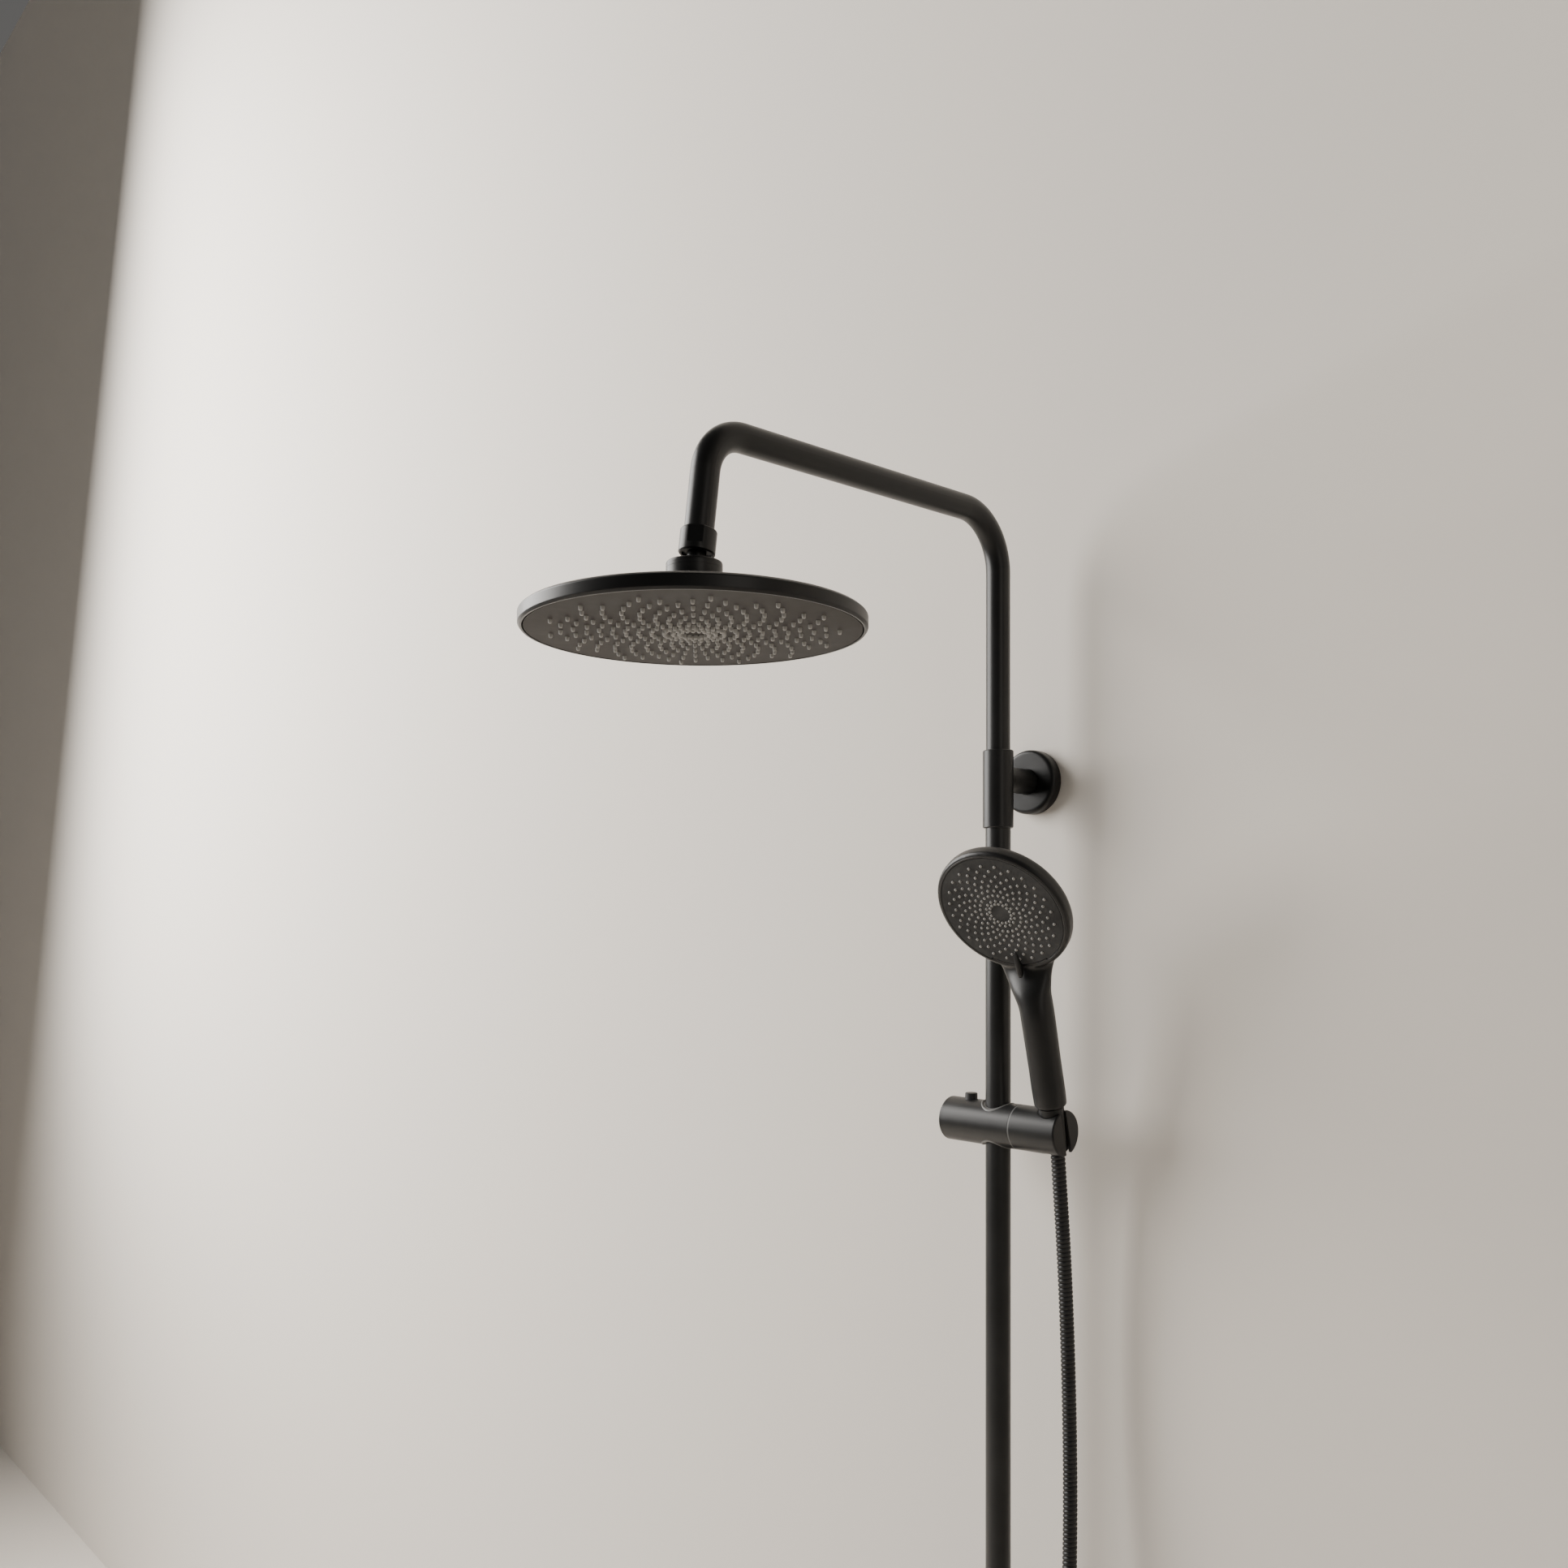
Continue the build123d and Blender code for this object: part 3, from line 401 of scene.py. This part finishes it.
# ================================================================ riser, bracket and arm
# Two powder-coated steel tubes that slide together inside the wall bracket's sleeve. The sleeve stands off the wall
# on a short round arm, screwed to a hidden plate behind a domed cover.
for node in ("riser_tube", "arm_tube", "bracket_sleeve"):
    coat_piece(nodes[node], powder_coat)
wall_cover("bracket_cover", 0.0, 0.0, 30.3, 12.0, 11.95, "escutcheon")
soft_rubber = make_finish("black_rubber", (0.018, 0.018, 0.018), (0.012, 0.012, 0.012), 0.65, grain_mm=0.5,
                          relief=0.00003)
coat_piece(nodes["arm_bush"], matte_moulding)
for node in ("arm_o_ring", "head_washer", "brake_shoe"):
    coat_piece(nodes[node], soft_rubber)
for node in ("wall_plate", "grub_screw", "holder_pivot", "button_spring"):
    coat_piece(nodes[node], bare_steel)

# ================================================================ rain head
# A 250 mm round head: spun shell with a soft-edged rim, a boss with a clamp ring over a ball joint, and a union nut
# with two spanner flats. Its underside is a satin plate with soft silicone nozzles standing through it.
ball = Vector(joints["head_tilt"]["pos_m"])
head_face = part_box("head_shell")[0].z
head_place = Matrix.Translation((ball.x, ball.y, head_face))
SOCKET_RADIUS, SOCKET_HEIGHT = 14.2, 40.6    # round hollow that holds the ball seat, above the head's underside
turned("rain_head_shell", head_place,
       eased([(121.9, 0.0, 0.5), (123.4, 0.0, 0.9), (125.0, 1.9, 1.4), (125.0, 9.6, 1.8), (122.6, 11.6, 3),
              (60, 22, 60),
              (27, 31.5, 14), (20.5, 37, 3), (20.5, 45.45), (13.3, 45.45)]
             + [(SOCKET_RADIUS * math.cos(a), SOCKET_HEIGHT + SOCKET_RADIUS * math.sin(a))
                for a in np.radians(range(18, -31, -4))]
             + [(9, 33.5),
              (9, 29.3), (25, 29.3), (60, 19.3), (119, 10), (119, 4.4), (121.9, 4.4)], parts=8),
       powder_coat, "head", "head_shell", steps=256)
turned("clamp_ring", head_place, eased([(9.95, 45.6), (20.5, 45.6), (20.5, 50.5, 2.2), (12.9, 50.5, 0.4)], parts=8),
       powder_coat, "head", "head_boss_ring", steps=128)
coat_piece(nodes["ball_stem"], powder_coat)
coat_piece(nodes["ball_seat"], matte_moulding)

DROP_LEAN = math.radians(7.5)
drop_place = axes_at(ball, (0, math.sin(DROP_LEAN), math.cos(DROP_LEAN)), (1, 0, 0))
FLAT_SIDE = math.radians(-49)
FLAT_REACH = 12.3


def spanner_flats(r, h, a):
    """Two opposite flats that stop short of the nut's lower rim."""
    if r < 11.5 or h < 21.2:
        return r
    across = abs(math.cos(a - FLAT_SIDE))
    return min(r, FLAT_REACH / across) if across > 0.5 else r


turned("union_nut", drop_place,
       eased([(7.35, 17.4), (10.9, 17.4), (11.1, 16.0), (12.6, 16.0, 0.4), (13.5, 16.9, 0.4), (13.5, 21.1),
              (13.5, 21.3),
              (13.5, 25), (13.5, 33.0, 0.4), (12.9, 33.9), (11.15, 33.9), (11.15, 32.4), (10.75, 32.2), (10.75, 18.3)]),
       powder_coat, "arm", "swivel_nut", steps=180, shape=spanner_flats)

# The brown in the face plate's tone is painted warm light bounced up from the floor under the head.
face_plate_painted_bounce = make_finish("rain_head_face_warm_bounce", (0.030, 0.023, 0.018), (0.022, 0.017, 0.014), 0.55, grain_mm=0.5,
                         relief=0.000012, cloud_mm=90, spread=0.06, Specular_IOR_Level=0.03)
coat_piece(nodes["head_face_plate"], face_plate_painted_bounce)
silicone = make_finish("nozzle_silicone", (0.50, 0.49, 0.47), (0.42, 0.41, 0.39), 0.48, grain_mm=0.6,
                       relief=0.000008, cloud_mm=12)


def nozzle_field(name, place, rings, outline, backing, finish, body, node, sides=14):
    """Every nozzle of a spray face, as small turned tubes in rings of (radius, count, first angle)."""
    verts, faces = turned_mesh(place, backing, 96)
    for radius, count, first in rings:
        for k in range(count):
            a = math.radians(first + 360 * k / count)
            spot = place @ Matrix.Translation((radius * MM * math.cos(a), radius * MM * math.sin(a), 0))
            v, f = turned_mesh(spot, outline, sides)
            base = len(verts)
            verts += v
            faces += [tuple(base + i for i in face) for face in f]
    ob = add_piece(name, verts, faces)
    clean(ob)
    ob.data.shade_smooth()
    ob.data.set_sharp_from_angle(angle=math.radians(50))
    coat_piece(ob, finish)
    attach(ob, body)
    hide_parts(node)
    return ob


HALF_STEP = 180 / 28
head_rings = [(104.5, 14, 42.5)]
head_rings += [(104.5 - 9.2 * k, 28, 42.5 + (k % 2) * HALF_STEP) for k in range(1, 10)]
head_rings += [(15.5, 20, 0), (11.0, 16, 0)]
nozzle_field("rain_nozzles", head_place, head_rings,
             [(1.5, 2.94), (1.5, 0.1), (1.46, -0.9), (1.38, -1.8), (1.18, -2.4), (0.85, -2.6), (0.55, -2.6),
              (0.5, -1.5), (0, -1.5), (0, 2.94)],
             [(0, 2.95), (113, 2.95), (113, 4.35), (0, 4.35)], silicone, "head", "head_nozzle_mat")

# ================================================================ slider and handset holder
# A moulded barrel clamps the riser; its right end turns on a pin and carries the slotted seat for the handset.
# A pale nylon bush shows as a thin collar where the riser goes through, and as a line between the two halves.
satin_moulding = make_finish("satin_black_moulding", (0.0070, 0.0070, 0.0072), (0.0050, 0.0050, 0.0052), 0.36,
                             grain_mm=0.5, relief=0.000012, cloud_mm=45, wear_and_highlight_tone=(0.03, 0.03, 0.03), spread=0.05,
                             Specular_IOR_Level=0.4)
pale_nylon = make_finish("pale_nylon", (0.15, 0.15, 0.147), (0.12, 0.12, 0.117), 0.45, grain_mm=0.5,
                         relief=0.00001, cloud_mm=10)
for node in ("slider_body", "slider_end_cap", "handset_holder"):
    coat_piece(nodes[node], satin_moulding)
for node in ("slider_button", "holder_insert"):
    coat_piece(nodes[node], matte_moulding)
coat_piece(nodes["slider_seal_ring"], pale_nylon)

barrel = Vector(joints["slider_swing"]["pos_m"])
BARREL_RADIUS = 20.4
collar_side = [(15.5, -4), (15.5, 0.0), (15.3, 0.35), (14.8, 0.5), (14.3, 0.4), (14.0, 0.0), (13.7, -1.0), (11.65, -1.3)]
collar_loop = [(r, d, 1) for r, d in collar_side] + [(r, d, -1) for r, d in reversed(collar_side)]
COLLAR_STEPS = 128
verts, faces = [], []
for i in range(COLLAR_STEPS):
    a = 2 * math.pi * i / COLLAR_STEPS
    for r, d, up_or_down in collar_loop:
        saddle = math.sqrt(BARREL_RADIUS ** 2 - (r * math.sin(a)) ** 2)
        verts.append(barrel + Vector((r * math.cos(a), r * math.sin(a), up_or_down * (saddle + d))) * MM)
n = len(collar_loop)
for i in range(COLLAR_STEPS):
    j = (i + 1) % COLLAR_STEPS
    faces += [(i * n + k, j * n + k, j * n + (k + 1) % n, i * n + (k + 1) % n) for k in range(n)]
collar = add_piece("riser_collar", verts, faces)
clean(collar)
collar.data.shade_smooth()
collar.data.set_sharp_from_angle(angle=math.radians(60))
coat_piece(collar, pale_nylon)
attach(collar, "runner")
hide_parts("slider_bush")

# ================================================================ handset
# One satin ABS moulding, handle, neck and round back flowing together, with a bezel and a satin face plate set into
# its front, pale nozzles through the plate and a small lever that turns the spray pattern.
face_out = Vector(joints["selector_turn"]["axis"]).normalized()
face_middle = Vector(joints["selector_turn"]["pos_m"])
HANDSET_TURN = math.radians(3.8)
hand_right = Vector((1, 0, 0)) * math.cos(HANDSET_TURN) + handle_back * math.sin(HANDSET_TURN)
hand_place = axes_at(seat_point, handle_up, hand_right)
face_place = axes_at(face_middle, -face_out, hand_right)

handle_sections = [(24, 0, 0, 12.3, 12.3), (26, 0, 0, 14.2, 14.2), (66, 0, 0, 14.5, 14.5), (106, 0, 0, 14.9, 14.9),
                   (117, -0.7, 0.5, 15.3, 14.5), (130, -3.6, 1.8, 18.0, 13.4), (150, -7.5, 7, 25.5, 10.4),
                   (172, -8, 5, 39, 9.5)]


def glide(table, column, t):
    """Smooth value of one column of a table of stations at t."""
    x = [row[0] for row in table]
    y = [row[column] for row in table]
    i = max(0, min(len(x) - 2, int(np.searchsorted(x, t, side="right")) - 1))
    slope = [(y[min(k + 1, len(x) - 1)] - y[max(k - 1, 0)]) / (x[min(k + 1, len(x) - 1)] - x[max(k - 1, 0)])
             for k in (i, i + 1)]
    w = x[i + 1] - x[i]
    u = (t - x[i]) / w
    return ((2 * u ** 3 - 3 * u * u + 1) * y[i] + (u ** 3 - 2 * u * u + u) * w * slope[0]
            + (3 * u * u - 2 * u ** 3) * y[i + 1] + (u ** 3 - u * u) * w * slope[1])


ROUND = 48
heights = [24, 24.6, 25.3, 26] + [26 + 3.0 * k for k in range(1, 49)] + [172]
verts, faces = [], []
for h in heights:
    cx, cy, rx, ry = (glide(handle_sections, c, h) for c in (1, 2, 3, 4))
    for k in range(ROUND):
        a = 2 * math.pi * k / ROUND
        verts.append(hand_place @ (Vector((cx + rx * math.cos(a), cy + ry * math.sin(a), h)) * MM))
for i in range(len(heights) - 1):
    faces += [(i * ROUND + k, i * ROUND + (k + 1) % ROUND, (i + 1) * ROUND + (k + 1) % ROUND, (i + 1) * ROUND + k)
              for k in range(ROUND)]
faces += [tuple(reversed(range(ROUND))), tuple(range(len(verts) - ROUND, len(verts)))]
dome = eased([(0, 29), (20, 28.2), (36, 25.2), (50, 20.2), (61.1, 12.6, 9), (61.1, 2.4, 1.4), (59.2, 0.15, 1.2),
              (56.0, 0.15), (56.0, 5.0), (0, 5.0)], parts=8)
v, f = turned_mesh(face_place, dome, 160)
rough_body = add_piece("handset_blank", verts + v, faces + [tuple(len(verts) + i for i in face) for face in f])
clean(rough_body)
remesh = rough_body.modifiers.new("union", "REMESH")
remesh.mode = "VOXEL"
remesh.voxel_size = 0.0009
bpy.context.view_layer.update()
body_mesh = bpy.data.meshes.new_from_object(rough_body.evaluated_get(bpy.context.evaluated_depsgraph_get()))
bpy.data.objects.remove(rough_body)
points = np.array([q.co for q in body_mesh.vertices])
links = np.array([e.vertices[:] for e in body_mesh.edges])
valence = np.maximum(np.bincount(links.ravel(), minlength=len(points)), 1)


def relax(p, weight, rounds):
    """Evens the surface out, more where weight is higher."""
    for _ in range(rounds):
        total = np.stack([np.bincount(links[:, 0], p[links[:, 1], k], len(p))
                          + np.bincount(links[:, 1], p[links[:, 0], k], len(p)) for k in range(3)], 1)
        p = p + weight[:, None] * (total / valence[:, None] - p)
    return p


in_face = (points - np.array(face_place.translation)) @ np.array(face_place.to_3x3()) / MM
in_hand = (points - np.array(hand_place.translation)) @ np.array(hand_place.to_3x3()) / MM
neck = np.clip(1 - np.abs(in_hand[:, 2] - 150) / 26, 0, 1) * np.clip((in_face[:, 2] - 2.5) / 3, 0, 1)
# Lightly all over, and strongly where the neck runs into the back of the head.
points = relax(points, np.full(len(points), 0.5), 6)
points = relax(points, 0.6 * np.sqrt(neck), 60)
body_mesh.vertices.foreach_set("co", points.astype(np.float32).ravel())
body_mesh.shade_smooth()
handset = bpy.data.objects.new("handset_moulding", body_mesh)
scene.collection.objects.link(handset)
coat_piece(handset, satin_moulding)
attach(handset, "handset")
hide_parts("handset_body")

LIP_RADIUS = 54.95
LIP_HALF_ANGLE = math.radians(29)


def lip(r, h, a):
    """The bezel's inner edge comes in under the lever, over the arc that the lever's foot runs in."""
    return LIP_RADIUS if r < 56.4 and abs(a - math.pi / 2) < LIP_HALF_ANGLE else r


turned("handset_bezel", face_place,
               eased([(56.15, 3.4), (56.15, 0.5, 0.3), (56.8, 0.02, 0.3), (57.9, 0.02, 0.5), (58.3, 0.6), (58.3, 3.4)]),
               satin_moulding, "handset", "handset_body", steps=256,
               shape=lip)
hand_face = make_finish("handset_face", (0.010, 0.010, 0.010), (0.007, 0.007, 0.007), 0.48, grain_mm=0.5,
                        relief=0.000012, cloud_mm=50, spread=0.05, Specular_IOR_Level=0.05)
coat_piece(nodes["handset_face_plate"], hand_face)
coat_piece(nodes["hose_nut_top"], powder_coat)

hand_rings = [(48.5 - 4.95 * k, 24, -1 + (k % 2) * 7.5) for k in range(7)] + [(13.0, 16, 0), (9.9, 16, 11.25)]
nozzle_field("handset_nozzles", face_place, hand_rings,
             [(1.2, 2.78), (1.2, 0.1), (1.12, -0.55), (0.92, -0.95), (0.62, -1.08), (0.4, -1.0), (0.36, -0.3), (0, -0.3),
              (0, 2.78)],
             [(0, 2.8), (49.9, 2.8), (49.9, 4.2), (0, 4.2)], silicone, "handset", "handset_nozzle_mat")

# The fin, station by station down the face: distance, top and underside above the face, half width.
lever_line = [(39.4, -2, -1.4, 0.8), (42, -3.2, -1.4, 1.7), (47, -5.3, -1.4, 2.2), (50.5, -6.5, -1.3, 2.3),
              (52, -7, -0.7, 2.3), (56.5, -8.2, -0.3, 2.3), (59.5, -8.9, -2.6, 2.2), (61.8, -8.8, -5, 1.9),
              (63, -8, -6.6, 1.1)]
LEVER_SIDES = 20
verts, faces = [], []
stations = np.linspace(lever_line[0][0], lever_line[-1][0], 44)
for t in stations:
    top, under, half = (glide(lever_line, c, t) for c in (1, 2, 3))
    for k in range(LEVER_SIDES):
        a = 2 * math.pi * k / LEVER_SIDES
        sx = math.copysign(abs(math.cos(a)) ** 0.6, math.cos(a)) * half
        sq = (top + under) / 2 + math.copysign(abs(math.sin(a)) ** 0.6, math.sin(a)) * (under - top) / 2
        verts.append(face_place @ (Vector((sx, t, sq)) * MM))
for i in range(len(stations) - 1):
    faces += [(i * LEVER_SIDES + k, i * LEVER_SIDES + (k + 1) % LEVER_SIDES,
               (i + 1) * LEVER_SIDES + (k + 1) % LEVER_SIDES, (i + 1) * LEVER_SIDES + k) for k in range(LEVER_SIDES)]
faces += [tuple(reversed(range(LEVER_SIDES))), tuple(range(len(verts) - LEVER_SIDES, len(verts)))]
lever = add_piece("spray_lever", verts, faces)
clean(lever)
lever.data.shade_smooth()
coat_piece(lever, satin_moulding)
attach(lever, "lever")
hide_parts("selector_lever")

# ================================================================ lights and backdrop
room_light = [("window", (-2.3, -1.35, 0.75), (2.0, 2.4), 165, (1.0, 0.975, 0.94)),
              ("doorway", (1.9, -0.9, 0.2), (0.7, 1.8), 5, (1.0, 0.93, 0.84))]
for name, place, size, power, tint in room_light:
    lamp = bpy.data.lights.new(name, "AREA")
    lamp.shape = "RECTANGLE"
    lamp.size, lamp.size_y = size
    lamp.energy = power
    lamp.color = tint
    ob = bpy.data.objects.new(name, lamp)
    scene.collection.objects.link(ob)
    ob.location = place
    ob.rotation_euler = (Vector((0, -0.2, -0.1)) - Vector(place)).to_track_quat("-Z", "Y").to_euler()
world = bpy.data.worlds.new("room")
scene.world = world
world.use_nodes = True
world.node_tree.nodes["Background"].inputs["Color"].default_value = (0.86, 0.84, 0.81, 1)
world.node_tree.nodes["Background"].inputs["Strength"].default_value = 0.14

plaster = bpy.data.materials.new("pale_plaster")
plaster.use_nodes = True
tree = plaster.node_tree
shader = tree.nodes["Principled BSDF"]
shader.inputs["Base Color"].default_value = (0.84, 0.79, 0.725, 1)
shader.inputs["Roughness"].default_value = 0.85
shader.inputs["Specular IOR Level"].default_value = 0.2
clear = tree.nodes.new("ShaderNodeBsdfTransparent")
facing = tree.nodes.new("ShaderNodeNewGeometry")
choose = tree.nodes.new("ShaderNodeMixShader")
tree.links.new(facing.outputs["Backfacing"], choose.inputs[0])
tree.links.new(shader.outputs[0], choose.inputs[1])
tree.links.new(clear.outputs[0], choose.inputs[2])
tree.links.new(choose.outputs[0], tree.nodes["Material Output"].inputs["Surface"])
FLOOR_Z = -1.75
wall = add_piece("wall_backdrop", [(-5, 0.001, FLOOR_Z), (4, 0.001, FLOOR_Z), (4, 0.001, 2.5), (-5, 0.001, 2.5)],
                 [(0, 1, 2, 3)])
floor = add_piece("floor", [(-5, -5, FLOOR_Z), (4, -5, FLOOR_Z), (4, 0.001, FLOOR_Z), (-5, 0.001, FLOOR_Z)],
                  [(0, 1, 2, 3)])
for ob in (wall, floor):
    coat_piece(ob, plaster)
